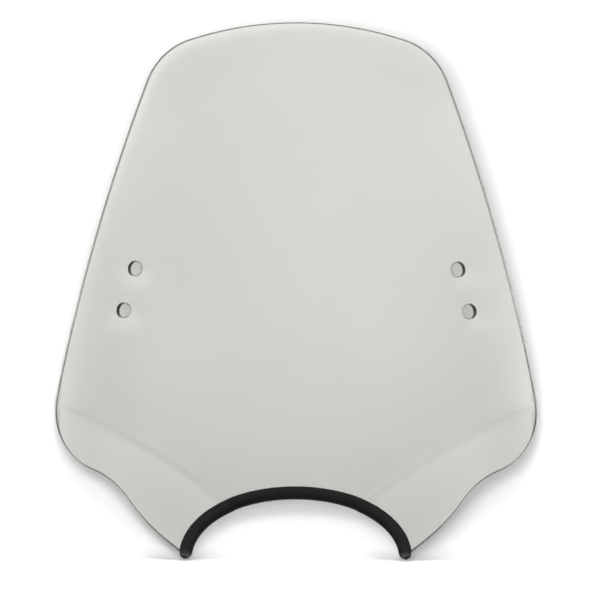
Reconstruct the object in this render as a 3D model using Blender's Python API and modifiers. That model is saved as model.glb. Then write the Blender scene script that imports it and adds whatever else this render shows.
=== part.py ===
"""Motorcycle windshield screen: a formed clear sheet with a rubber trim round its headlight cut-out.

Metres, +Z up. The convex front faces -Y and X runs across the width. The origin is the centre of the four
bolt holes, level with the front face at the holes. Places on the sheet are given as it is seen from the
front, as (x, z), and the form of the sheet gives their depth.
"""

import math

import bmesh
import bpy
import numpy as np
from mathutils import Vector

# Sheet
SHEET_THICKNESS = 0.0045
SHEET_BEND_RADIUS = 0.290  # bend of the front face across the width
SHEET_LEAN = math.radians(7.5)  # the sheet leans back from upright
EDGE_ROUND = 0.0008

# Outline of the sheet: where its runs would meet, and the radius that rounds each meeting
TOP_APEX_HEIGHT = 0.2412
TOP_EDGE_RADIUS = 0.325
TOP_CORNER_HALF_WIDTH = 0.1205
TOP_CORNER_HEIGHT = 0.2085
TOP_CORNER_RADIUS = 0.058
SIDE_HALF_WIDTH = 0.1825
SIDE_HEIGHT = 0.042
SIDE_RADIUS = 1.90
HIP_HALF_WIDTH = 0.219
HIP_HEIGHT = -0.137
HIP_RADIUS = 0.058
KNEE_HALF_WIDTH = 0.1545
KNEE_HEIGHT = -0.1605
KNEE_RADIUS = 0.070
WING_HALF_WIDTH = 0.126
WING_HEIGHT = -0.196
WING_RADIUS = 0.170

# Headlight cut-out: half an ellipse, open at the bottom
CUTOUT_HALF_WIDTH = 0.090
CUTOUT_CROWN_HEIGHT = -0.172
CUTOUT_DEPTH = 0.050

# Flared wings: the sheet turns forward below a bowed bend line from the hip to the cut-out
BEND_ABOVE_HIP = 0.038
BEND_CUTOUT_ANGLE = math.radians(38)  # along the cut-out, from its crown
BEND_BOW = 0.009
BEND_SOFTNESS = 0.006
FLARE_ANGLE = math.radians(28)

# Bolt holes
BOLT_HOLE_DIAMETER = 0.0127
BOLT_HOLE_CHAMFER = 0.0004
BOLT_UPPER_HALF_SPAN = 0.1395
BOLT_LOWER_HALF_SPAN = 0.1495
BOLT_PITCH = 0.036

# Rubber trim: an oval section with a slot for the sheet's edge
TRIM_LENGTH_ON_SHEET = 0.0075
TRIM_WEB = 0.0036
TRIM_LEG = 0.0028
TRIM_FULLNESS = 2.3  # power of the oval: 2 is an ellipse, and more is squarer
FIT_GAP = 0.0003  # between the trim and the sheet

# Facets
WING_STEPS = 18
CUTOUT_STEPS = 52
ROW_STEPS = 18
ROW_GROWTH = 1.19  # each row is taller than the one below it
CORNER_STEPS = 12
CURVE_STEPS = 720  # along the cut-out, before it is divided evenly
HOLE_STEPS = 32
OVAL_STEPS = 20
RELAX_ROUNDS = 4000


def front_depth(x, z):
    """Depth of the front face: a cylinder that leans back, less the forward turn of the two wings."""
    bolt_half_span = (BOLT_UPPER_HALF_SPAN + BOLT_LOWER_HALF_SPAN) / 2
    at_bolts = math.sqrt(SHEET_BEND_RADIUS**2 - bolt_half_span**2)
    bent = at_bolts - math.sqrt(SHEET_BEND_RADIUS**2 - x**2)
    return bent + math.tan(SHEET_LEAN) * z - flare(x, z) - flare(-x, z)


def flare(x, z):
    """Forward reach of the right wing: a soft hinge that grows with the distance below the bend line."""
    centre, radius = bend_circle()
    below = radius - math.hypot(x - centre.x, z - centre.y)
    return math.tan(FLARE_ANGLE) * (math.hypot(below, BEND_SOFTNESS) + below) / 2


def bend_circle():
    """Centre and radius of the arc that the right bend line follows."""
    outer = Vector((HIP_HALF_WIDTH, HIP_HEIGHT + BEND_ABOVE_HIP))
    inner = Vector(cutout_edge(BEND_CUTOUT_ANGLE))
    chord = outer - inner
    radius = chord.length_squared / (8 * BEND_BOW) + BEND_BOW / 2
    downward = Vector((chord.y, -chord.x)).normalized()
    return (outer + inner) / 2 + downward * (radius - BEND_BOW), radius


def cutout_edge(angle):
    """Place on the cut-out's edge at an angle from its crown, positive to the right."""
    base = CUTOUT_CROWN_HEIGHT - CUTOUT_DEPTH
    return CUTOUT_HALF_WIDTH * math.sin(angle), base + CUTOUT_DEPTH * math.cos(angle)


def front_normal(x, z):
    """Outward normal of the front face, from the slope of its depth."""
    step = 1e-5
    across = (front_depth(x + step, z) - front_depth(x - step, z)) / (2 * step)
    up = (front_depth(x, z + step) - front_depth(x, z - step)) / (2 * step)
    return Vector((across, -1, up)).normalized()


def on_sheet(x, z, lift=0.0):
    """Point at a front-view place, lifted off the front face along its normal."""
    return Vector((x, front_depth(x, z), z)) + front_normal(x, z) * lift


def rounded_corners(corners):
    """Arcs that round the inner corners of an open path of (x, z, radius), each as a list of places."""
    places = [Vector(corner[:2]) for corner in corners]
    runs = [(after - before).length for before, after in zip(places, places[1:])]
    turns = []
    tangents = [0.0]
    for before, place, after, corner in zip(places, places[1:], places[2:], corners[1:]):
        turns.append((place - before).angle(after - place))
        tangents.append(corner[2] * math.tan(turns[-1] / 2))
    tangents.append(0.0)
    arcs = []
    for i in range(1, len(places) - 1):
        room_before = runs[i - 1] / max(runs[i - 1], tangents[i - 1] + tangents[i])
        room_after = runs[i] / max(runs[i], tangents[i] + tangents[i + 1])
        reach = tangents[i] * min(room_before, room_after)
        start = places[i] + (places[i - 1] - places[i]).normalized() * reach
        end = places[i] + (places[i + 1] - places[i]).normalized() * reach
        arcs.append(corner_arc(start, places[i], end, turns[i - 1]))
    return arcs


def corner_arc(start, corner, end, turn):
    """Places along the arc that touches both runs of a corner, at equal angles."""
    middle = (start + end) / 2
    half_chord = (end - start).length / 2
    radius = half_chord / math.sin(turn / 2)
    outward = (corner - middle).normalized()
    along = (end - start).normalized()
    centre = middle - outward * radius * math.cos(turn / 2)
    angles = [turn * (i / CORNER_STEPS - 0.5) for i in range(CORNER_STEPS + 1)]
    return [centre + radius * (outward * math.cos(a) + along * math.sin(a)) for a in angles]


def along_path(places, shares):
    """Places at the given shares of the length of a path."""
    path = np.array([tuple(place) for place in places])
    lengths = np.hypot(*np.diff(path, axis=0).T)
    travelled = np.concatenate(([0.0], np.cumsum(lengths)))
    wanted = shares * travelled[-1]
    return np.column_stack([np.interp(wanted, travelled, path[:, axis]) for axis in (0, 1)])


def sheet_outline():
    """The right wing, the right side and the top of the outline, each as a path of places."""
    tip = cutout_edge(math.pi / 2)
    corners = [
        (*tip, 0.0),
        (WING_HALF_WIDTH, WING_HEIGHT, WING_RADIUS),
        (KNEE_HALF_WIDTH, KNEE_HEIGHT, KNEE_RADIUS),
        (HIP_HALF_WIDTH, HIP_HEIGHT, HIP_RADIUS),
        (SIDE_HALF_WIDTH, SIDE_HEIGHT, SIDE_RADIUS),
        (TOP_CORNER_HALF_WIDTH, TOP_CORNER_HEIGHT, TOP_CORNER_RADIUS),
        (0.0, TOP_APEX_HEIGHT, TOP_EDGE_RADIUS),
        (-TOP_CORNER_HALF_WIDTH, TOP_CORNER_HEIGHT, TOP_CORNER_RADIUS),
        (-SIDE_HALF_WIDTH, SIDE_HEIGHT, SIDE_RADIUS),
    ]
    wing, knee, hip, side, right_corner, apex, left_corner = rounded_corners(corners)
    lower_edge = [Vector(tip)] + wing + knee + hip
    side_edge = hip[-1:] + side + right_corner[:1]
    top_edge = right_corner + apex + left_corner
    return lower_edge, side_edge, top_edge


def sheet_grid():
    """Front-view places of the sheet's grid, [column, row]: rows rise from the lower edge to the top edge.

    The places inside are spread by repeated averaging of each one's four neighbours, weighted so that
    the rows stay close together at the lower edge, where the sheet bends most.
    """
    lower_edge, side_edge, top_edge = sheet_outline()
    columns = 2 * WING_STEPS + CUTOUT_STEPS
    rise = (ROW_GROWTH ** np.arange(ROW_STEPS + 1) - 1) / (ROW_GROWTH**ROW_STEPS - 1)
    mirror = np.array((-1, 1))
    right_wing = along_path(lower_edge, np.linspace(0, 1, WING_STEPS + 1))
    right_side = along_path(side_edge, rise)
    quarter_turns = np.linspace(-math.pi / 2, math.pi / 2, CURVE_STEPS + 1)
    cutout = along_path([cutout_edge(angle) for angle in quarter_turns], np.linspace(0, 1, CUTOUT_STEPS + 1))
    lower = np.concatenate(((right_wing * mirror)[:0:-1], cutout, right_wing[1:]))
    upper = along_path(top_edge, np.linspace(1, 0, columns + 1))

    grid = lower[:, None] * (1 - rise[:, None]) + upper[:, None] * rise[:, None]
    grid[0] = right_side * mirror
    grid[-1] = right_side
    heights = np.diff(rise)[:, None]
    below, above = heights[:-1], heights[1:]
    beside_weight = float(columns**2)
    below_weight = 2 / (below * (below + above))
    above_weight = 2 / (above * (below + above))
    total_weight = 2 * beside_weight + below_weight + above_weight
    for _ in range(RELAX_ROUNDS):
        beside = beside_weight * (grid[:-2, 1:-1] + grid[2:, 1:-1])
        ends = below_weight * grid[1:-1, :-2] + above_weight * grid[1:-1, 2:]
        grid[1:-1, 1:-1] = (beside + ends) / total_weight
    return grid


def grid_mesh(name, places):
    """Mesh of a grid of points, [column, row], from the grid primitive."""
    columns, rows = len(places) - 1, len(places[0]) - 1
    shape = bmesh.new()
    bmesh.ops.create_grid(shape, x_segments=columns, y_segments=rows, size=1)
    for vertex in shape.verts:
        column = round((vertex.co.x + 1) / 2 * columns)
        row = round((vertex.co.y + 1) / 2 * rows)
        vertex.co = places[column][row]
    mesh = bpy.data.meshes.new(name)
    shape.to_mesh(mesh)
    shape.free()
    return mesh


def new_material(name, colour, roughness, transmission=0.0):
    """Principled material of one colour."""
    material = bpy.data.materials.new(name)
    material.use_nodes = True
    shader = material.node_tree.nodes["Principled BSDF"]
    shader.inputs["Base Color"].default_value = (*colour, 1)
    shader.inputs["Roughness"].default_value = roughness
    shader.inputs["Metallic"].default_value = 0.0
    shader.inputs["Transmission Weight"].default_value = transmission
    return material


def add_part(name, mesh, material, collection):
    """Named object with its own material."""
    mesh.materials.append(material)
    mesh.shade_smooth()
    part = bpy.data.objects.new(name, mesh)
    collection.objects.link(part)
    return part


def add_hole_cutter(name, x, z, collection):
    """Turned cutter for one bolt hole, square to the sheet, that also breaks both edges of the hole."""
    radius = BOLT_HOLE_DIAMETER / 2
    beyond = SHEET_THICKNESS
    flared = radius + BOLT_HOLE_CHAMFER + beyond
    profile = [
        (0.0, beyond),
        (flared, beyond),
        (radius, -BOLT_HOLE_CHAMFER),
        (radius, BOLT_HOLE_CHAMFER - SHEET_THICKNESS),
        (flared, -SHEET_THICKNESS - beyond),
        (0.0, -SHEET_THICKNESS - beyond),
    ]
    mesh = bpy.data.meshes.new(name)
    edges = [(i, i + 1) for i in range(len(profile) - 1)]
    mesh.from_pydata([(r, 0.0, height) for r, height in profile], edges, [])
    cutter = bpy.data.objects.new(name, mesh)
    cutter.location = on_sheet(x, z)
    cutter.rotation_euler = front_normal(x, z).to_track_quat("Z", "Y").to_euler()
    cutter.hide_render = True
    cutter.display_type = "WIRE"
    turn = cutter.modifiers.new("turn", "SCREW")
    turn.steps = HOLE_STEPS
    turn.render_steps = HOLE_STEPS
    turn.use_merge_vertices = True
    turn.merge_threshold = 0.00001
    collection.objects.link(cutter)
    return cutter


def add_screen(grid, parts, cutters):
    """The formed sheet: an open surface given its thickness, with rounded edges and four bolt holes."""
    places = [[on_sheet(x, z) for x, z in column] for column in grid]
    smoke = new_material("smoked_clear_plastic", (0.66, 0.67, 0.62), 0.04, transmission=1.0)
    screen = add_part("screen", grid_mesh("screen", places), smoke, parts)
    wall = screen.modifiers.new("wall", "SOLIDIFY")
    wall.thickness = SHEET_THICKNESS
    wall.offset = -1
    wall.use_even_offset = True
    edge = screen.modifiers.new("edge", "BEVEL")
    edge.width = EDGE_ROUND
    edge.segments = 2
    edge.limit_method = "ANGLE"
    edge.angle_limit = math.radians(35)
    for side, sign in (("left", -1), ("right", 1)):
        for level, half_span, height in (
            ("upper", BOLT_UPPER_HALF_SPAN, BOLT_PITCH / 2),
            ("lower", BOLT_LOWER_HALF_SPAN, -BOLT_PITCH / 2),
        ):
            name = f"{level}_{side}_bolt_hole"
            hole = screen.modifiers.new(name, "BOOLEAN")
            hole.operation = "DIFFERENCE"
            hole.solver = "EXACT"
            hole.object = add_hole_cutter(name, sign * half_span, height, cutters)
    return screen


def trim_section():
    """Section of the trim as (reach onto the sheet, height over its middle): an oval open to a slot."""
    slot = SHEET_THICKNESS / 2 + FIT_GAP
    half_height = slot + TRIM_LEG
    half_length = (TRIM_LENGTH_ON_SHEET + FIT_GAP + TRIM_WEB) / 2
    centre = TRIM_LENGTH_ON_SHEET - half_length
    power = 2 / TRIM_FULLNESS
    mouth = math.asin((slot / half_height) ** (1 / power))
    section = []
    for i in range(OVAL_STEPS + 1):
        angle = mouth + (2 * math.pi - 2 * mouth) * i / OVAL_STEPS
        along = math.copysign(abs(math.cos(angle)) ** power, math.cos(angle))
        over = math.copysign(abs(math.sin(angle)) ** power, math.sin(angle))
        section.append((centre + half_length * along, half_height * over))
    mouth_reach = section[0][0]
    floor = [(mouth_reach / 2, -slot), (-FIT_GAP, -slot), (-FIT_GAP, slot), (mouth_reach / 2, slot)]
    return section + floor


def trim_station(edge, section):
    """Points of the section at one place on the cut-out's edge, carried on the form of the sheet."""
    place, along = edge
    normal = front_normal(*place)
    slope = (front_depth(*(place + along * 1e-5)) - front_depth(*(place - along * 1e-5))) / 2e-5
    tangent = Vector((along.x, slope, along.y)).normalized()
    inward = normal.cross(tangent)
    points = []
    for reach, height in section:
        x = place.x + inward.x * reach
        z = place.y + inward.z * reach
        points.append(on_sheet(x, z, height - SHEET_THICKNESS / 2))
    return points


def add_trim(grid, parts):
    """Rubber channel carried along the cut-out's edge, from wing tip to wing tip, with closed ends."""
    edge = [Vector(place) for place in grid[WING_STEPS : WING_STEPS + CUTOUT_STEPS + 1, 0]]
    section = trim_section()
    stations = []
    for i, place in enumerate(edge):
        along = (edge[min(i + 1, CUTOUT_STEPS)] - edge[max(i - 1, 0)]).normalized()
        points = trim_station((place, along), section)
        stations.append(points + points[:1])
    mesh = grid_mesh("headlight_trim", stations)
    shape = bmesh.new()
    shape.from_mesh(mesh)
    bmesh.ops.remove_doubles(shape, verts=shape.verts, dist=0.000001)
    bmesh.ops.holes_fill(shape, edges=[e for e in shape.edges if e.is_boundary], sides=0)
    bmesh.ops.recalc_face_normals(shape, faces=shape.faces)
    shape.to_mesh(mesh)
    shape.free()
    rubber = new_material("black_rubber", (0.012, 0.014, 0.013), 0.42)
    return add_part("headlight_trim", mesh, rubber, parts)


def main():
    for old in list(bpy.data.objects):
        bpy.data.objects.remove(old)
    parts = bpy.data.collections.new("windshield_screen")
    cutters = bpy.data.collections.new("cutters")
    bpy.context.scene.collection.children.link(parts)
    bpy.context.scene.collection.children.link(cutters)
    grid = sheet_grid()
    add_screen(grid, parts, cutters)
    add_trim(grid, parts)


main()
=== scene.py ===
"""Looks of a motorcycle windshield screen: a smoked clear sheet with a rubber trim round its headlight cut-out."""

import bpy
import numpy as np
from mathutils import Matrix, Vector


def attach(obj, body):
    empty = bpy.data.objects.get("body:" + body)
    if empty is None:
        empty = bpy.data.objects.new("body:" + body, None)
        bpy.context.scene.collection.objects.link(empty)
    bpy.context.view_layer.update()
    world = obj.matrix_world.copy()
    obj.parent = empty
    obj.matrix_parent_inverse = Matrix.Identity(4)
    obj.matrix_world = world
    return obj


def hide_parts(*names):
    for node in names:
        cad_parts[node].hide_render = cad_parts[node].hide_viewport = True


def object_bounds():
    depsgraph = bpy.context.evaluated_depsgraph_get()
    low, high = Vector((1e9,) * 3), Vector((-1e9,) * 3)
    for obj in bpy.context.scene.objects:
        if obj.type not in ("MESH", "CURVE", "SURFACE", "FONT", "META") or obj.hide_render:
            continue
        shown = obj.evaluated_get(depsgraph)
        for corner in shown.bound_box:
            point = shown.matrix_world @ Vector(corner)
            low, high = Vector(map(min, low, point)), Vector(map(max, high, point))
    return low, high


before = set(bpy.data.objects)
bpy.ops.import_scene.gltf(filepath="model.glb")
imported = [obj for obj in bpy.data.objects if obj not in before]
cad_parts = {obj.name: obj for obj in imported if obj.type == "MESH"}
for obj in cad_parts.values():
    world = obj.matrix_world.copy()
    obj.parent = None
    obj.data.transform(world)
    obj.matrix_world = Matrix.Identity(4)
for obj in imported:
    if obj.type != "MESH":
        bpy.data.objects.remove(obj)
cad_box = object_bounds()


# The screen is one sheet of lightly smoked clear acrylic, 4.5 mm thick.
# It is sawn to its outline, drilled, then heated and formed: a bend across the whole width, and two wings
# that turn forward below a soft crease. Its edges are rounded, and bolts through its four holes carry it.
SHEET_THICKNESS = 0.0045
SHEET_BEND_RADIUS = 0.2906
SHEET_LEAN = np.radians(7.5)
SHEET_EDGE_ROUND = 0.0008
TOP_APEX = (0.0, 0.2412)
TOP_EDGE_RADIUS = 0.325
TOP_CORNER = (0.1205, 0.2085)
TOP_CORNER_RADIUS = 0.058
SIDE = (0.1825, 0.042)
SIDE_RADIUS = 1.90
HIP = (0.219, -0.137)
HIP_RADIUS = 0.058
KNEE = (0.1545, -0.1605)
KNEE_RADIUS = 0.070
WING = (0.126, -0.196)
WING_RADIUS = 0.170
CUTOUT_HALF_WIDTH = 0.090
CUTOUT_CROWN = -0.172
CUTOUT_DEPTH = 0.050
CREASE_OUTER = (0.219, -0.099)
CREASE_CUTOUT_ANGLE = np.radians(38)
CREASE_BOW = 0.009
CREASE_SOFTNESS = 0.0026
FLARE_ANGLE = np.radians(28)
BOLT_HOLE_RADIUS = 0.00635
BOLT_HOLE_ROUND = 0.0005
BOLT_UPPER = (0.1395, 0.018)
BOLT_LOWER = (0.1495, -0.018)
PATH_STEPS = 2000
HOLE_BLOCK = (8, 4)
HOLE_RING_SPACING = 0.75
SHEET_IOR = 1.49
SHEET_TINT = (0.905, 0.913, 0.863)
SHEET_TINT_DRIFT = 0.985
SHEET_ROUGHNESS = (0.010, 0.030)
SHEET_DRIFT_SCALE = 9.0
# Painted shade: the smoke tint is painted darker towards the wings' rims, standing for the shade that falls there.
WING_RIM_PAINTED_SHADE = (0.780, 0.787, 0.744)
WING_RIM_DEPTH = 0.042
# Painted shade: the cut edges and hole walls are coloured near-black for the dark line they show.
CUT_EDGE_PAINTED_SHADE = (0.060, 0.066, 0.055)
CUT_EDGE_ROUGHNESS = (0.15, 0.35)
CUT_EDGE_BRUSH_SCALE = 900.0
FINE_DETAIL = 3.0
BROAD_DETAIL = 2.0


def cutout_edge(angle):
    """Half an ellipse: half width times sine across, and depth times cosine above its base."""
    across = CUTOUT_HALF_WIDTH * np.sin(angle)
    up = CUTOUT_CROWN - CUTOUT_DEPTH + CUTOUT_DEPTH * np.cos(angle)
    return np.stack((across, up), axis=-1)


def crease_circle():
    """Circle through both ends of the crease with the given bow: radius = chord^2 / 8 bow + bow / 2."""
    outer, inner = np.array(CREASE_OUTER), cutout_edge(CREASE_CUTOUT_ANGLE)
    chord = outer - inner
    length = np.hypot(*chord)
    radius = length**2 / (8 * CREASE_BOW) + CREASE_BOW / 2
    below = np.array((chord[1], -chord[0])) / length
    return (outer + inner) / 2 + below * (radius - CREASE_BOW), radius


def below_crease(x, z):
    """Distance below the right wing's crease: the circle's radius less the distance from its centre."""
    centre, radius = crease_circle()
    return radius - np.hypot(x - centre[0], z - centre[1])


def wing_flare(x, z):
    """Forward reach of the right wing: slope times a hyperbola that is 0 above the crease and rises below it."""
    below = below_crease(x, z)
    return np.tan(FLARE_ANGLE) * (np.hypot(below, CREASE_SOFTNESS) + below) / 2


def sheet_depth(x, z):
    """Depth of the front face: a circle across the width, plus the lean times height, less both wings' reach."""
    bolt_half_span = (BOLT_UPPER[0] + BOLT_LOWER[0]) / 2
    circle = np.sqrt(SHEET_BEND_RADIUS**2 - bolt_half_span**2) - np.sqrt(SHEET_BEND_RADIUS**2 - x**2)
    return circle + np.tan(SHEET_LEAN) * z - wing_flare(x, z) - wing_flare(-x, z)


def on_sheet(places):
    """Points of the front face at places (x, z), and its normals (slope across, -1, slope up) made unit."""
    x, z = places[..., 0], places[..., 1]
    step = 1e-5
    across = (sheet_depth(x + step, z) - sheet_depth(x - step, z)) / (2 * step)
    up = (sheet_depth(x, z + step) - sheet_depth(x, z - step)) / (2 * step)
    normals = np.stack((across, -np.ones_like(x), up), axis=-1)
    normals /= np.linalg.norm(normals, axis=-1, keepdims=True)
    return np.stack((x, sheet_depth(x, z), z), axis=-1), normals


def corner_arcs(corners, radii, steps=48):
    """Arcs that touch both runs of each inner corner: centre plus radius times (cosine out + sine along)."""
    corners = np.array(corners)
    runs = np.diff(corners, axis=0)
    lengths = np.hypot(runs[:, 0], runs[:, 1])
    ways = runs / lengths[:, None]
    turns = np.arccos(np.clip((ways[1:] * ways[:-1]).sum(axis=1), -1, 1))
    reach = np.concatenate(([0], radii * np.tan(turns / 2), [0]))
    room = np.minimum(1, lengths / (reach[1:] + reach[:-1]))
    reach = reach[1:-1] * np.minimum(room[:-1], room[1:])
    start = corners[1:-1] - ways[:-1] * reach[:, None]
    end = corners[1:-1] + ways[1:] * reach[:, None]
    middle = (start + end) / 2
    out = (corners[1:-1] - middle) / np.hypot(*(corners[1:-1] - middle).T)[:, None]
    along = (end - start) / np.hypot(*(end - start).T)[:, None]
    radius = np.hypot(*(end - start).T) / 2 / np.sin(turns / 2)
    centre = middle - out * (radius * np.cos(turns / 2))[:, None]
    angle = (turns[:, None] * np.linspace(-0.5, 0.5, steps + 1))[..., None]
    return centre[:, None] + radius[:, None, None] * (out[:, None] * np.cos(angle) + along[:, None] * np.sin(angle))


def along_path(path, shares):
    """Places at the given shares of a path's length, by straight interpolation between its points."""
    travelled = np.concatenate(([0], np.cumsum(np.hypot(*np.diff(path, axis=0).T))))
    return np.stack([np.interp(shares * travelled[-1], travelled, path[:, axis]) for axis in (0, 1)], axis=-1)


def sheet_outline(wing_steps, cutout_steps, rise):
    """The outline as a closed loop of places: along the bottom, up the right side, back along the top and down."""
    mirror = np.array((-1, 1))
    tip = cutout_edge(np.pi / 2)
    corners = [tip, WING, KNEE, HIP, SIDE, TOP_CORNER, TOP_APEX, TOP_CORNER * mirror, SIDE * mirror]
    radii = [WING_RADIUS, KNEE_RADIUS, HIP_RADIUS, SIDE_RADIUS, TOP_CORNER_RADIUS, TOP_EDGE_RADIUS, TOP_CORNER_RADIUS]
    wing, knee, hip, side, right_corner, apex, left_corner = corner_arcs(corners, radii)
    right_wing = along_path(np.concatenate((tip[None], wing, knee, hip)), np.linspace(0, 1, wing_steps + 1))
    right_side = along_path(np.concatenate((hip[-1:], side, right_corner[:1])), rise)
    half_ellipse = cutout_edge(np.linspace(-np.pi / 2, np.pi / 2, PATH_STEPS))
    arch = along_path(half_ellipse, np.linspace(0, 1, cutout_steps + 1))
    top_path = np.concatenate((right_corner, apex, left_corner))
    top = along_path(top_path, np.linspace(0, 1, 2 * wing_steps + cutout_steps + 1))
    bottom = np.concatenate(((right_wing * mirror)[:0:-1], arch, right_wing[1:]))
    return np.concatenate((bottom[:-1], right_side[:-1], top[:-1], (right_side * mirror)[:0:-1]))


def outward_edge(points, normals):
    """In-surface direction off a closed edge: tangent x normal of both runs at a point, joined as a mitre."""
    ways = np.roll(points, -1, axis=0) - points
    ways /= np.linalg.norm(ways, axis=1, keepdims=True)
    after = np.cross(ways, normals)
    after /= np.linalg.norm(after, axis=1, keepdims=True)
    before = np.roll(after, 1, axis=0)
    return (before + after) / (1 + (before * after).sum(axis=1, keepdims=True))


def spread_grid(loop, columns, rise, passes=((4, 3000), (2, 400), (1, 200))):
    """Places inside the loop, [column, row]: each is the weighted mean of its four neighbours.

    The mean is reached by averaging over and over, first on every fourth line of the grid, then on every
    second and then on all, where each finer grid starts half way between the places of the coarser one.
    A pass is how many lines it goes on by, and how often it averages.
    """
    rows = len(rise) - 1
    closed = np.concatenate((loop, loop[:1]))
    bottom, right = closed[: columns + 1], closed[columns : columns + rows + 1]
    top, left = closed[columns + rows : 2 * columns + rows + 1][::-1], closed[2 * columns + rows :][::-1]
    grid = None
    for skip, rounds in passes:
        levels = rise[::skip]
        if grid is None:
            grid = bottom[::skip, None] * (1 - levels[:, None]) + top[::skip, None] * levels[:, None]
        else:
            grid = np.stack((grid, (grid + np.roll(grid, -1, axis=0)) / 2), axis=1).reshape(-1, *grid.shape[1:])[:-1]
            grid = np.stack((grid, (grid + np.roll(grid, -1, axis=1)) / 2), axis=2).reshape(len(grid), -1, 2)[:, :-1]
        grid[:, 0], grid[:, -1], grid[0], grid[-1] = bottom[::skip], top[::skip], left[::skip], right[::skip]
        heights = np.diff(levels)[:, None]
        beside = float((columns // skip) ** 2)
        below = 2 / (heights[:-1] * (heights[:-1] + heights[1:]))
        above = 2 / (heights[1:] * (heights[:-1] + heights[1:]))
        for _ in range(rounds):
            sides = beside * (grid[:-2, 1:-1] + grid[2:, 1:-1])
            ends = below * grid[1:-1, :-2] + above * grid[1:-1, 2:]
            grid[1:-1, 1:-1] = (sides + ends) / (2 * beside + below + above)
    return grid


def round_edge(radius, steps=6):
    """Section of a rounded edge, from the front face to the rear: (way off the sheet, height over its front)."""
    angle = np.linspace(0, np.pi / 2, steps + 1)
    front = np.stack((radius * np.sin(angle) - radius, radius * np.cos(angle) - radius), axis=-1)
    rear = np.stack((front[::-1, 0], -SHEET_THICKNESS - front[::-1, 1]), axis=-1)
    return np.concatenate((front, rear))


def rings_to_quads(outer, inner):
    """Quads between two closed rings of vertex numbers that run the same way round."""
    return np.stack((outer, np.roll(outer, -1), np.roll(inner, -1), inner), axis=-1)


def grid_to_quads(numbers):
    """Quads of a grid of vertex numbers, [column, row]."""
    return np.stack((numbers[:-1, :-1], numbers[1:, :-1], numbers[1:, 1:], numbers[:-1, 1:]), axis=-1)


def border(numbers):
    """Numbers round the border of a grid, [column, row]: along its first row, up, back along its last and down."""
    return np.concatenate((numbers[:-1, 0], numbers[-1, :-1], numbers[:0:-1, -1], numbers[0, :0:-1]))


def mesh_from(name, points, quads):
    """Smooth mesh of the points that the quads use, filled from whole arrays."""
    used, corners = np.unique(quads, return_inverse=True)
    mesh = bpy.data.meshes.new(name)
    mesh.vertices.add(len(used))
    mesh.vertices.foreach_set("co", points[used].ravel())
    mesh.loops.add(corners.size)
    mesh.loops.foreach_set("vertex_index", corners.ravel())
    mesh.polygons.add(corners.size // 4)
    mesh.polygons.foreach_set("loop_start", np.arange(0, corners.size, 4))
    mesh.polygons.foreach_set("use_smooth", np.ones(corners.size // 4, dtype=bool))
    mesh.update(calc_edges=True)
    return mesh, used


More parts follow.
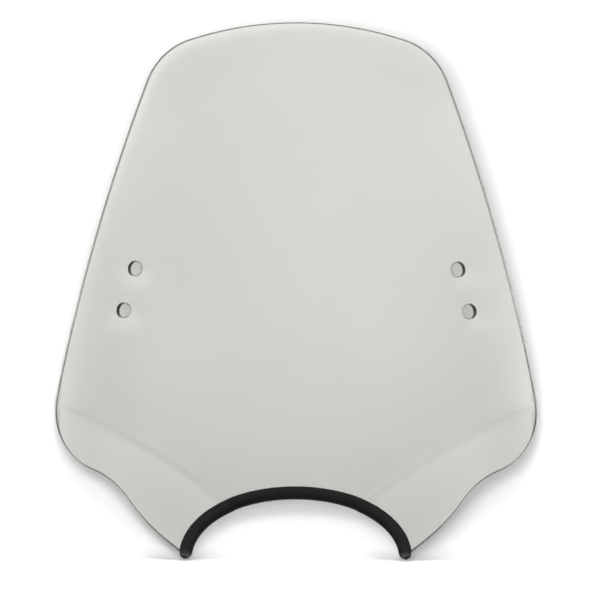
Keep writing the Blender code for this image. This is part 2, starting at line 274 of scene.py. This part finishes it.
def screen_mesh(wing_steps=56, cutout_steps=144, row_steps=140, row_growth=1.012, hole_rings=12):
    """The sheet: a front and a rear grid 4.5 mm apart, ringed round each hole, joined by rounded edges."""
    columns = 2 * wing_steps + cutout_steps
    rise = (row_growth ** np.arange(row_steps + 1) - 1) / (row_growth**row_steps - 1)
    outline = sheet_outline(wing_steps, cutout_steps, rise)
    edge, edge_normal = on_sheet(outline)
    off_edge = outward_edge(edge, edge_normal)
    grid = spread_grid((edge - off_edge * SHEET_EDGE_ROUND)[:, ::2], columns, rise)
    front, normal = on_sheet(grid)
    rear = front - normal * SHEET_THICKNESS

    points = [front.reshape(-1, 3), rear.reshape(-1, 3)]
    cut = [np.zeros(front[..., 0].size), np.zeros(front[..., 0].size)]
    count = 2 * front[..., 0].size
    front_numbers = np.arange(front[..., 0].size).reshape(grid.shape[:2])
    rear_numbers = front_numbers + front[..., 0].size
    kept = np.ones((columns, row_steps), dtype=bool)
    quads = []

    def add_points(new, edge_share):
        """Adds points [ring, place] with their share of the cut edge's brushed finish and painted dark shade, and
        gives their numbers.
        """
        nonlocal count
        points.append(new.reshape(-1, 3))
        cut.append(np.full(new[..., 0].size, edge_share))
        count += new[..., 0].size
        return np.arange(count - new[..., 0].size, count).reshape(new.shape[:2])

    def add_edge(rim, rim_normal, off, radius, front_ring, rear_ring, outside):
        """Carries the rounded section along a rim: rim + off times way + normal times height.

        The outside rim and the rim of a hole run opposite ways round the sheet, so their quads are turned.
        """
        section = round_edge(radius)[1:-1, :, None, None]
        rows = add_points(rim + off * section[:, 0] + rim_normal * section[:, 1], 1.0)
        rings = [front_ring, *rows, rear_ring]
        for ring, following in zip(rings, rings[1:]):
            quads.append(rings_to_quads(following, ring) if outside else rings_to_quads(ring, following))

    add_edge(edge, edge_normal, off_edge, SHEET_EDGE_ROUND, border(front_numbers), border(rear_numbers), True)
    for x, z in (BOLT_UPPER, BOLT_LOWER, (-BOLT_UPPER[0], BOLT_UPPER[1]), (-BOLT_LOWER[0], BOLT_LOWER[1])):
        centre, axis = on_sheet(np.array((x, z)))
        level = np.cross((0, 0, 1), axis)
        level /= np.linalg.norm(level)
        rising = np.cross(axis, level)
        column, row = np.unravel_index(np.hypot(*(grid - (x, z)).transpose(2, 0, 1)).argmin(), grid.shape[:2])
        (left, low), (right, high) = np.subtract((column, row), HOLE_BLOCK), np.add((column, row), HOLE_BLOCK)
        block = np.s_[left : right + 1, low : high + 1]
        kept[left:right, low:high] = False
        ring = border(front_numbers[block])
        away = front.reshape(-1, 3)[ring] - centre
        angle = np.arctan2(away @ rising, away @ level)[:, None]
        spoke = level * np.cos(angle) + rising * np.sin(angle)
        lip = (centre + spoke * (BOLT_HOLE_RADIUS + BOLT_HOLE_ROUND))[:, ::2]
        share = (np.linspace(0, 1, hole_rings + 1)[1:] ** HOLE_RING_SPACING)[:, None, None]
        rings, ring_normals = on_sheet(grid.reshape(-1, 2)[ring] * (1 - share) + lip * share)
        near = [ring, *add_points(rings, 0.0)]
        far = [border(rear_numbers[block]), *add_points(rings - ring_normals * SHEET_THICKNESS, 0.0)]
        for outer, inner in zip(near, near[1:]):
            quads.append(rings_to_quads(outer, inner))
        for outer, inner in zip(far, far[1:]):
            quads.append(rings_to_quads(outer, inner)[:, ::-1])
        rim, rim_normal = on_sheet((centre + spoke * BOLT_HOLE_RADIUS)[:, ::2])
        add_edge(rim, rim_normal, -spoke, BOLT_HOLE_ROUND, near[-1], far[-1], False)
    quads.append(grid_to_quads(front_numbers)[kept])
    quads.append(grid_to_quads(rear_numbers)[kept][:, ::-1])
    mesh, used = mesh_from("screen_sheet", np.concatenate(points), np.concatenate(quads))
    cut_edge = mesh.attributes.new("cut_edge", "FLOAT", "POINT")
    cut_edge.data.foreach_set("value", np.concatenate(cut)[used])
    x, _, z = np.concatenate(points)[used].T
    # Mask of the painted shade on the wings: 0 at the crease, 1 at WING_RIM_DEPTH below it.
    wing_rim_shade = mesh.attributes.new("wing_rim_shade", "FLOAT", "POINT")
    wing_rim_shade.data.foreach_set("value", np.clip(below_crease(np.abs(x), z) / WING_RIM_DEPTH, 0, 1))
    return mesh


def noise_group():
    """Two noises in object space, as values round 0.5: a fine one for the surface and a broad one for tone."""
    group = bpy.data.node_groups.new("surface_noise", "ShaderNodeTree")
    for name in ("Fine Scale", "Broad Scale"):
        group.interface.new_socket(name, in_out="INPUT", socket_type="NodeSocketFloat")
    for name in ("Fine", "Broad"):
        group.interface.new_socket(name, in_out="OUTPUT", socket_type="NodeSocketFloat")
    nodes, links = group.nodes, group.links
    inside, outside = nodes.new("NodeGroupInput"), nodes.new("NodeGroupOutput")
    place = nodes.new("ShaderNodeTexCoord")
    for name, detail in (("Fine", FINE_DETAIL), ("Broad", BROAD_DETAIL)):
        noise = nodes.new("ShaderNodeTexNoise")
        noise.inputs["Detail"].default_value = detail
        links.new(place.outputs["Object"], noise.inputs["Vector"])
        links.new(inside.outputs[name + " Scale"], noise.inputs["Scale"])
        links.new(noise.outputs["Fac"], outside.inputs[name])
    return group


surface_noise = noise_group()


def value_range(nodes, links, value, low, high):
    """Maps a value from 0..1 to low..high."""
    node = nodes.new("ShaderNodeMapRange")
    node.inputs["To Min"].default_value = low
    node.inputs["To Max"].default_value = high
    links.new(value, node.inputs["Value"])
    return node.outputs["Result"]


def colour_mix(nodes, links, share, first, second):
    """Mix of two colours by a share; a colour is a tuple or a socket."""
    node = nodes.new("ShaderNodeMix")
    node.data_type = "RGBA"
    links.new(share, node.inputs["Factor"])
    first_colour, second_colour, mixed = node.inputs[6], node.inputs[7], node.outputs[2]
    for socket, colour in ((first_colour, first), (second_colour, second)):
        if isinstance(colour, tuple):
            socket.default_value = (*colour, 1)
        else:
            links.new(colour, socket)
    return mixed


def smoked_acrylic():
    """Clear plastic with a faint drift of its smoke tint, painted shade that darkens the wings towards their rims,
    and brushed cut edges coloured near-black as painted shade.
    """
    material = bpy.data.materials.new("smoked_acrylic")
    material.use_nodes = True
    nodes, links = material.node_tree.nodes, material.node_tree.links
    shader = nodes["Principled BSDF"]
    shader.inputs["Transmission Weight"].default_value = 1.0
    shader.inputs["IOR"].default_value = SHEET_IOR
    noise = nodes.new("ShaderNodeGroup")
    noise.node_tree = surface_noise
    noise.inputs["Fine Scale"].default_value = CUT_EDGE_BRUSH_SCALE
    noise.inputs["Broad Scale"].default_value = SHEET_DRIFT_SCALE
    edge = nodes.new("ShaderNodeAttribute")
    edge.attribute_name = "cut_edge"
    wing = nodes.new("ShaderNodeAttribute")
    wing.attribute_name = "wing_rim_shade"
    deeper_tint = tuple(part * SHEET_TINT_DRIFT for part in SHEET_TINT)
    drift = colour_mix(nodes, links, noise.outputs["Broad"], deeper_tint, SHEET_TINT)
    # Painted shade: the wings' tint darkens towards their rims.
    tint = colour_mix(nodes, links, wing.outputs["Fac"], drift, WING_RIM_PAINTED_SHADE)
    # Painted shade: the cut edges are coloured near-black.
    links.new(colour_mix(nodes, links, edge.outputs["Fac"], tint, CUT_EDGE_PAINTED_SHADE), shader.inputs["Base Color"])
    polished = value_range(nodes, links, noise.outputs["Broad"], *SHEET_ROUGHNESS)
    brushed = value_range(nodes, links, noise.outputs["Fine"], *CUT_EDGE_ROUGHNESS)
    rough = nodes.new("ShaderNodeMix")
    links.new(edge.outputs["Fac"], rough.inputs["Factor"])
    links.new(polished, rough.inputs[2])
    links.new(brushed, rough.inputs[3])
    links.new(rough.outputs[0], shader.inputs["Roughness"])
    return material


screen = bpy.data.objects.new("screen_sheet", screen_mesh())
bpy.context.scene.collection.objects.link(screen)
screen.data.materials.append(smoked_acrylic())
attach(screen, "root")
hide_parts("screen")


# The headlight trim is one length of extruded black rubber with an oval section and a slot.
# It is pushed onto the edge of the cut-out, follows the sheet through both creases and is cut off at the tips.
TRIM_LENGTH_ON_SHEET = 0.0075
TRIM_WEB = 0.0036
TRIM_LEG = 0.0028
TRIM_FULLNESS = 2.3
TRIM_GAP = 0.0003
TRIM_LIP_ROUND = 0.0003
TRIM_END_DOME = 0.0006
TRIM_NOSE = 0.0042
TRIM_NOSE_WIDTH = 0.50
TRIM_NOSE_HEIGHT = 0.75
TRIM_PATH_STEPS = 4001
RUBBER_BLACK = (0.0022, 0.0026, 0.0024)
RUBBER_GREY = (0.0048, 0.0054, 0.0050)
RUBBER_CUT = (0.050, 0.052, 0.050)
RUBBER_GLOSS = 0.035
RUBBER_ROUGHNESS = (0.36, 0.52)
RUBBER_BLOOM_SCALE = 60.0
RUBBER_GRAIN_SCALE = 1400.0
RUBBER_GRAIN_SHARE = 0.6
RUBBER_DRAW_LINES = 70.0
RUBBER_BUMP_STRENGTH = 0.25
RUBBER_BUMP_DEPTH = 0.0001


def trim_section(columns=80, rows=10):
    """Grid of the section, [column, row], as (reach up the sheet, height over its middle).

    Its first row is an oval, |reach|^p + |height|^p = 1, from the front mouth of the slot round to the rear one.
    Its last row runs into the slot, across the floor and out. The lips between them are rounded off.
    """
    slot = SHEET_THICKNESS / 2 + TRIM_GAP
    half_height = slot + TRIM_LEG
    half_length = (TRIM_LENGTH_ON_SHEET + TRIM_GAP + TRIM_WEB) / 2
    power = 2 / TRIM_FULLNESS
    mouth = np.arcsin((slot / half_height) ** (1 / power))

    def oval(angle):
        """Place on the oval at an angle."""
        along = np.sign(np.cos(angle)) * np.abs(np.cos(angle)) ** power
        over = np.sign(np.sin(angle)) * np.abs(np.sin(angle)) ** power
        return np.stack((TRIM_LENGTH_ON_SHEET - half_length + half_length * along, half_height * over), axis=-1)

    lip = oval(mouth)
    past_lip = mouth + TRIM_LIP_ROUND / half_height
    outer = oval(np.linspace(past_lip, 2 * np.pi - past_lip, columns + 1))
    inside_lip = lip[0] - TRIM_LIP_ROUND
    walls = np.array([(inside_lip, slot), (-TRIM_GAP, slot), (-TRIM_GAP, -slot), (inside_lip, -slot)])
    inner = along_path(walls, np.linspace(0, 1, columns + 1))
    share = np.linspace(0, 1, rows + 1)[:, None]
    grid = outer[:, None] * (1 - share) + inner[:, None] * share
    corner = (2 * share * (1 - share)) * (lip - (outer[0] + inner[0]) / 2)
    grid[0] += corner
    grid[-1] += corner * (1, -1)
    return grid


def trim_mesh(stations=240, nose_steps=10):
    """The section carried along the cut-out's edge on the form of the sheet, with rounded ends.

    A point is edge + inward x reach, moved off the middle of the sheet along its normal by the height.
    Near an end the section shrinks towards its middle as a quarter of an ellipse: sqrt(1 - (1 - way / nose)^2).
    A low dome closes each end: its height times the cube root of (1 - |row|^3) (1 - |column|^9).
    """
    arch = cutout_edge(np.linspace(-np.pi / 2, np.pi / 2, TRIM_PATH_STEPS))
    length = np.hypot(*np.diff(arch, axis=0).T).sum() - 2 * TRIM_END_DOME
    section = trim_section()
    columns, rows = section.shape[:2]
    ring = border(np.arange(columns * rows).reshape(columns, rows))
    nose = TRIM_NOSE * (1 - np.cos(np.linspace(0, np.pi / 2, nose_steps + 1)))
    full_run = np.linspace(TRIM_NOSE, length - TRIM_NOSE, stations + 1)[1:-1]
    travel = np.concatenate((nose, full_run, length - nose[::-1]))
    shares = (travel + TRIM_END_DOME) / (length + 2 * TRIM_END_DOME)
    near_end = np.minimum(1, np.minimum(travel, length - travel) / TRIM_NOSE)
    fullness = np.sqrt(1 - (1 - near_end) ** 2)[:, None, None]
    middle = TRIM_LENGTH_ON_SHEET - (TRIM_LENGTH_ON_SHEET + TRIM_GAP + TRIM_WEB) / 2
    reach = middle + (section[..., 0] - middle) * (TRIM_NOSE_WIDTH + (1 - TRIM_NOSE_WIDTH) * fullness)
    height = section[..., 1] * (1 - (1 - TRIM_NOSE_HEIGHT) * (1 - fullness) * np.linspace(1, 0, rows))
    sections = np.stack((reach, height), axis=-1).reshape(len(travel), -1, 2)

    def carried(shares, places):
        """Points [station, place] of each station's section at its share of the edge's length, and the way ahead."""
        spine = along_path(arch, shares)
        step = 1e-4
        ahead = on_sheet(along_path(arch, shares + step))[0] - on_sheet(along_path(arch, shares - step))[0]
        ahead /= np.linalg.norm(ahead, axis=-1, keepdims=True)
        inward = np.cross(on_sheet(spine)[1], ahead)[:, ::2]
        spot, spot_normal = on_sheet(spine[:, None] + inward[:, None] * places[..., :1])
        return spot + spot_normal * (places[..., 1:] - SHEET_THICKNESS / 2), ahead

    side, _ = carried(shares, sections[:, ring])
    caps, ahead = carried(shares[[0, -1]], sections[[0, -1]])
    column, row = np.meshgrid(np.linspace(-1, 1, columns), np.linspace(-1, 1, rows), indexing="ij")
    dome = TRIM_END_DOME * np.cbrt((1 - np.abs(row) ** 3) * (1 - np.abs(column) ** 9))
    caps += dome.reshape(-1, 1) * ahead[:, None] * np.array((-1, 1))[:, None, None]

    points = np.concatenate((side.reshape(-1, 3), caps.reshape(-1, 3)))
    side_numbers = np.arange(side[..., 0].size).reshape(side.shape[:2])
    cap_numbers = side[..., 0].size + np.arange(caps[..., 0].size).reshape(2, -1)
    cap_numbers[:, ring] = side_numbers[[0, -1]]
    first, last = cap_numbers.reshape(2, columns, rows)
    quads = [rings_to_quads(near, far) for near, far in zip(side_numbers, side_numbers[1:])]
    quads += [grid_to_quads(first).reshape(-1, 4)[:, ::-1], grid_to_quads(last).reshape(-1, 4)]
    mesh, used = mesh_from("trim_rubber", points, np.concatenate(quads))
    cap_points = 2 * columns * rows
    round_section = np.concatenate((np.tile(np.linspace(0, 1, len(ring)), len(travel)), np.zeros(cap_points)))
    cut_end = np.concatenate((np.repeat(1 - fullness.ravel(), len(ring)), np.ones(cap_points)))
    for name, values in (("round_section", round_section), ("cut_end", cut_end)):
        attribute = mesh.attributes.new(name, "FLOAT", "POINT")
        attribute.data.foreach_set("value", values[used])
    return mesh


def extruded_rubber():
    """Black rubber with faint draw lines along its length, a dull bloom and greyer cut ends."""
    material = bpy.data.materials.new("extruded_rubber")
    material.use_nodes = True
    nodes, links = material.node_tree.nodes, material.node_tree.links
    shader = nodes["Principled BSDF"]
    shader.inputs["Specular IOR Level"].default_value = RUBBER_GLOSS
    noise = nodes.new("ShaderNodeGroup")
    noise.node_tree = surface_noise
    noise.inputs["Fine Scale"].default_value = RUBBER_GRAIN_SCALE
    noise.inputs["Broad Scale"].default_value = RUBBER_BLOOM_SCALE
    cut_end = nodes.new("ShaderNodeAttribute")
    cut_end.attribute_name = "cut_end"
    section = nodes.new("ShaderNodeAttribute")
    section.attribute_name = "round_section"
    bloom = colour_mix(nodes, links, noise.outputs["Broad"], RUBBER_BLACK, RUBBER_GREY)
    links.new(colour_mix(nodes, links, cut_end.outputs["Fac"], bloom, RUBBER_CUT), shader.inputs["Base Color"])
    links.new(value_range(nodes, links, noise.outputs["Broad"], *RUBBER_ROUGHNESS), shader.inputs["Roughness"])
    lines = nodes.new("ShaderNodeTexNoise")
    lines.noise_dimensions = "1D"
    lines.inputs["Scale"].default_value = RUBBER_DRAW_LINES
    links.new(section.outputs["Fac"], lines.inputs["W"])
    height = nodes.new("ShaderNodeMath")
    height.operation = "MULTIPLY_ADD"
    height.inputs[1].default_value = RUBBER_GRAIN_SHARE
    links.new(noise.outputs["Fine"], height.inputs[0])
    links.new(lines.outputs["Fac"], height.inputs[2])
    bump = nodes.new("ShaderNodeBump")
    bump.inputs["Strength"].default_value = RUBBER_BUMP_STRENGTH
    bump.inputs["Distance"].default_value = RUBBER_BUMP_DEPTH
    links.new(height.outputs["Value"], bump.inputs["Height"])
    links.new(bump.outputs["Normal"], shader.inputs["Normal"])
    return material


trim = bpy.data.objects.new("trim_rubber", trim_mesh())
bpy.context.scene.collection.objects.link(trim)
trim.data.materials.append(extruded_rubber())
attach(trim, "root")
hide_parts("headlight_trim")


# The studio has a pale floor under the tips and a white board close behind the screen.
# The board's foot comes forward to the floor in a ramp that follows the wings. Painted shade darkens its paper a
# little there, and the board shows only from its front.
FLOOR_GAP = 0.0004
FLOOR_HEIGHT = cad_box[0].z - FLOOR_GAP
FLOOR_HALF_WIDTH = 4.0
BOARD_DEPTH = 0.065
BOARD_HALF_WIDTH = 0.60
BOARD_HEIGHT = 0.62
RAMP_TOP = -0.110
RAMP_BEND = 0.100
RAMP_FOOT_BEND = 0.030
RAMP_BEND_STEPS = 16
BOARD_OVER_FLOOR = 0.0002
PAPER_ROUGHNESS = 0.9
PAPER_WHITE = (0.90, 0.90, 0.90)
# Painted shade: the paper's tone at the board's foot.
PAPER_FOOT_PAINTED_SHADE = (0.79, 0.79, 0.79)
PAPER_SHADE = (-0.120, -0.205)


def sheet_of_paper(name, profile, half_width, columns=4):
    """A profile of (depth, height) points drawn out across the width."""
    x = np.linspace(-half_width, half_width, columns + 1)
    points = np.column_stack((np.repeat(x, len(profile)), np.tile(profile, (len(x), 1))))
    numbers = np.arange(len(points)).reshape(len(x), len(profile))
    mesh, _ = mesh_from(name, points, grid_to_quads(numbers).reshape(-1, 4))
    paper = bpy.data.objects.new(name, mesh)
    bpy.context.scene.collection.objects.link(paper)
    return paper


def matte_paper(name, one_sided):
    """Matt white; a one-sided sheet is painted darker towards its foot as painted shade, and lets all rays through
    from behind.
    """
    material = bpy.data.materials.new(name)
    material.use_nodes = True
    nodes, links = material.node_tree.nodes, material.node_tree.links
    shader = nodes["Principled BSDF"]
    shader.inputs["Base Color"].default_value = (*PAPER_WHITE, 1)
    shader.inputs["Roughness"].default_value = PAPER_ROUGHNESS
    shader.inputs["Specular IOR Level"].default_value = 0.0
    if one_sided:
        place = nodes.new("ShaderNodeTexCoord")
        parts = nodes.new("ShaderNodeSeparateXYZ")
        links.new(place.outputs["Object"], parts.inputs["Vector"])
        shade = nodes.new("ShaderNodeMapRange")
        shade.interpolation_type = "SMOOTHSTEP"
        shade.inputs["From Min"].default_value, shade.inputs["From Max"].default_value = PAPER_SHADE[::-1]
        links.new(parts.outputs["Z"], shade.inputs["Value"])
        # Painted shade: the paper darkens from white to the foot's tone below the shade heights.
        tone = colour_mix(nodes, links, shade.outputs["Result"], PAPER_FOOT_PAINTED_SHADE, PAPER_WHITE)
        links.new(tone, shader.inputs["Base Color"])
        side = nodes.new("ShaderNodeNewGeometry")
        clear = nodes.new("ShaderNodeBsdfTransparent")
        mix = nodes.new("ShaderNodeMixShader")
        links.new(side.outputs["Backfacing"], mix.inputs["Fac"])
        links.new(shader.outputs["BSDF"], mix.inputs[1])
        links.new(clear.outputs["BSDF"], mix.inputs[2])
        links.new(mix.outputs["Shader"], nodes["Material Output"].inputs["Surface"])
    return material


floor_profile = np.array([(-FLOOR_HALF_WIDTH, FLOOR_HEIGHT), (FLOOR_HALF_WIDTH, FLOOR_HEIGHT)])
floor = sheet_of_paper("floor", floor_profile, FLOOR_HALF_WIDTH)
floor.data.materials.append(matte_paper("floor_paper", False))
ramp_foot = BOARD_DEPTH - (RAMP_TOP - FLOOR_HEIGHT)
board_corners = [
    (-FLOOR_HALF_WIDTH, FLOOR_HEIGHT),
    (ramp_foot, FLOOR_HEIGHT),
    (BOARD_DEPTH, RAMP_TOP),
    (BOARD_DEPTH, BOARD_HEIGHT),
]
board_bends = corner_arcs(board_corners, np.array((RAMP_FOOT_BEND, RAMP_BEND)), RAMP_BEND_STEPS)
board_profile = np.concatenate((*board_bends, board_corners[-1:])) + (0, BOARD_OVER_FLOOR)
board = sheet_of_paper("board", board_profile, BOARD_HALF_WIDTH)
board.data.materials.append(matte_paper("board_paper", True))


# The light is an even pale room, a lamp close to the line of sight, a weak one at the board's foot and a soft
# one over the floor. Mirrored, the room has a bank of lights before the screen, whose strength goes with height.
ROOM_LIGHT = 0.808
BANK_LIGHT = (  # height of the direction, strength
    (0.00, 2.00), (0.10, 3.40), (0.19, 4.50), (0.23, 4.40), (0.255, 5.00), (0.275, 5.15), (0.32, 4.90), (0.34, 4.20),
    (0.355, 3.20), (0.385, 4.10), (0.64, 4.20), (0.74, 5.00), (0.79, 5.85), (0.815, 5.90), (0.84, 5.80), (1.00, 3.00),
)
BANK_TO_RIGHT = 0.20
BANK_LEAN_HEIGHTS = (0.180, 0.250)
BANK_LIFT = 0.107
BANK_SIDE_POWER = 5.0
BANK_LEFT_LOSS = (0.34, 0.72)
BANK_RIGHT_LOSS = (0.11, 0.50)
BANK_LOSS_HEIGHTS = (0.120, 0.200)


def lamp(name, place, target, size, spread, power):
    """Oval soft lamp that lights matt surfaces and isn't mirrored or seen."""
    data = bpy.data.lights.new(name, "AREA")
    data.shape = "ELLIPSE"
    data.size, data.size_y = size
    data.spread = np.radians(spread)
    data.energy = power
    source = bpy.data.objects.new(name, data)
    away = np.array(place) - np.array(target)
    source.location = place
    source.rotation_euler = (np.arctan2(np.hypot(away[0], away[1]), away[2]), 0, np.arctan2(away[0], -away[1]))
    source.visible_camera = source.visible_glossy = source.visible_transmission = False
    bpy.context.scene.collection.objects.link(source)


def bank_of_lights(tree):
    """Strength by the height of the direction, z plus a lift times x^2, read off a curve.

    Above a low height it grows to the right with x times -y. It falls off at the sides with a power of x^2,
    and less so low down and on the right.
    """
    nodes, links = tree.nodes, tree.links

    def reckon(operation, first, second, third=0.0):
        """Socket of one step of arithmetic on up to three values, each a number or a socket."""
        node = nodes.new("ShaderNodeMath")
        node.operation = operation
        for socket, value in zip(node.inputs, (first, second, third)):
            if isinstance(value, float):
                socket.default_value = value
            else:
                links.new(value, socket)
        return node.outputs["Value"]

    direction = nodes.new("ShaderNodeTexCoord")
    parts = nodes.new("ShaderNodeSeparateXYZ")
    links.new(direction.outputs["Generated"], parts.inputs["Vector"])
    aside = reckon("MULTIPLY", parts.outputs["X"], parts.outputs["X"])
    height = reckon("MULTIPLY_ADD", aside, BANK_LIFT, parts.outputs["Z"])
    strongest = max(light for _, light in BANK_LIGHT)
    curve = nodes.new("ShaderNodeFloatCurve")
    points = curve.mapping.curves[0].points
    # A new curve has two points already.
    for spot, (level, light) in enumerate(BANK_LIGHT):
        point = points[spot] if spot < 2 else points.new(1, 1)
        point.location = (level, light / strongest)
    curve.mapping.update()
    links.new(height, curve.inputs["Value"])

    def by_height(heights, low, high):
        """Socket of a value that goes smoothly from low to high between two heights of the direction."""
        node = nodes.new("ShaderNodeMapRange")
        node.interpolation_type = "SMOOTHSTEP"
        for name, value in zip(("From Min", "From Max", "To Min", "To Max"), (*heights, low, high)):
            node.inputs[name].default_value = value
        links.new(parts.outputs["Z"], node.inputs["Value"])
        return node.outputs["Result"]

    left_loss = by_height(BANK_LOSS_HEIGHTS, *BANK_LEFT_LOSS)
    right_loss = by_height(BANK_LOSS_HEIGHTS, *BANK_RIGHT_LOSS)
    on_right = reckon("GREATER_THAN", parts.outputs["X"], 0.0)
    loss = reckon("MULTIPLY_ADD", on_right, reckon("SUBTRACT", right_loss, left_loss), left_loss)
    fade = reckon("SUBTRACT", 1.0, reckon("MULTIPLY", reckon("POWER", aside, BANK_SIDE_POWER), loss))
    level = by_height(BANK_LEAN_HEIGHTS, 0.0, 1.0)
    ahead = reckon("MULTIPLY", reckon("MULTIPLY", parts.outputs["X"], parts.outputs["Y"]), level)
    to_right = reckon("MULTIPLY_ADD", ahead, -BANK_TO_RIGHT * strongest, strongest)
    return reckon("MULTIPLY", reckon("MULTIPLY", curve.outputs["Value"], to_right), fade)


lamp("front_lamp", place=(-0.085, -0.9, 0.145), target=(-0.03, 0.0, 0.02), size=(0.44, 0.26), spread=180, power=4.4)
lamp("low_lamp", place=(0.0, -0.8, -0.10), target=(0.0, -0.02, -0.215), size=(0.12, 0.12), spread=34, power=0.08)
lamp("floor_lamp", place=(0.0, -0.42, 0.9), target=(0.0, -0.30, -0.2), size=(0.6, 0.6), spread=50, power=0.6)
room = bpy.data.worlds.new("room")
room.use_nodes = True
room_nodes, room_links = room.node_tree.nodes, room.node_tree.links
# Only a mirrored ray meets the bank of lights. It is a glossy ray that hasn't come through the sheet.
ray = room_nodes.new("ShaderNodeLightPath")
mirrored = room_nodes.new("ShaderNodeMath")
mirrored.operation = "GREATER_THAN"
room_links.new(ray.outputs["Is Glossy Ray"], mirrored.inputs[0])
room_links.new(ray.outputs["Is Transmission Ray"], mirrored.inputs[1])
strength = room_nodes.new("ShaderNodeMix")
strength.inputs[2].default_value = ROOM_LIGHT
room_links.new(mirrored.outputs["Value"], strength.inputs["Factor"])
room_links.new(bank_of_lights(room.node_tree), strength.inputs[3])
room_nodes["Background"].inputs["Color"].default_value = (1, 1, 1, 1)
room_links.new(strength.outputs[0], room_nodes["Background"].inputs["Strength"])
bpy.context.scene.world = room
bpy.context.scene.view_settings.view_transform = "Standard"


# The camera looks straight at the screen from in front, a little below the bolt holes.
# It stands well back behind a long lens, so near and far parts keep their scale, and is rolled a trace to one side.
CAMERA_PLACE = (0.0030, -2.4, -0.0088)
CAMERA_ROLL = np.radians(-0.2)
CAMERA_LENS = 167.4
CAMERA_SENSOR = 36.0

lens = bpy.data.cameras.new("camera")
lens.lens = CAMERA_LENS
lens.sensor_width = CAMERA_SENSOR
camera = bpy.data.objects.new("camera", lens)
camera.location = CAMERA_PLACE
camera.rotation_euler = (np.pi / 2, CAMERA_ROLL, 0)
bpy.context.scene.collection.objects.link(camera)
bpy.context.scene.camera = camera
